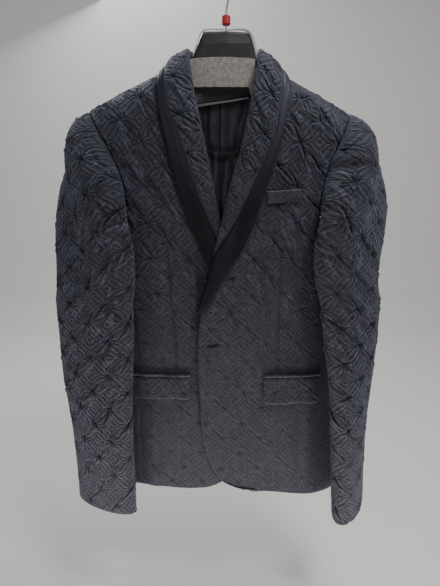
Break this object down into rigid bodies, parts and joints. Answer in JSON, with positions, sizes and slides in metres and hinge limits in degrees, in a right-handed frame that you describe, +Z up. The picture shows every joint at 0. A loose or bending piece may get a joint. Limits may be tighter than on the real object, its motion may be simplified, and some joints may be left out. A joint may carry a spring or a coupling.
{
  "type": "blazer on its hanger",
  "caption": "Slim evening blazer in puckered star-and-diamond jacquard with a satin-edged shawl collar, hanging on a moulded hanger with a wire hook.",
  "frame": {"origin": "inside top of the hanger's hook, where the rail carries it", "axes": "Z up, front of the blazer faces -Y, the wearer's left is +X"},
  "size_m": [0.5543, 0.1713, 0.871],
  "materials": {
    "jacquard": "matte puckered weave",
    "satin": "satin",
    "lining": "soft sheen",
    "plastic": "moulded, semi-gloss",
    "wire": "polished",
    "red_ring": "moulded",
    "lip": "worn edge",
    "felt": "felt"
  },
  "bodies": {
    "root": {"front_right": "jacquard", "front_left": "jacquard", "back_right": "jacquard", "back_left": "jacquard", "side_right": "jacquard", "side_left": "jacquard", "sleeve_upper_right": "jacquard", "sleeve_upper_left": "jacquard", "sleeve_under_right": "jacquard", "sleeve_under_left": "jacquard", "collar_right": "jacquard", "collar_left": "jacquard", "satin_band_right": "satin", "satin_band_left": "satin", "jet_right": "jacquard", "jet_left": "jacquard", "flap_right": "jacquard", "flap_left": "jacquard", "lining_back_right": "lining", "lining_back_left": "lining", "breast_welt": "jacquard", "hanger_body": "plastic", "hook": "wire", "size_ring": "red_ring", "felt_band": "felt", "hanger_lip": "lip"}
  },
  "joints": []
}
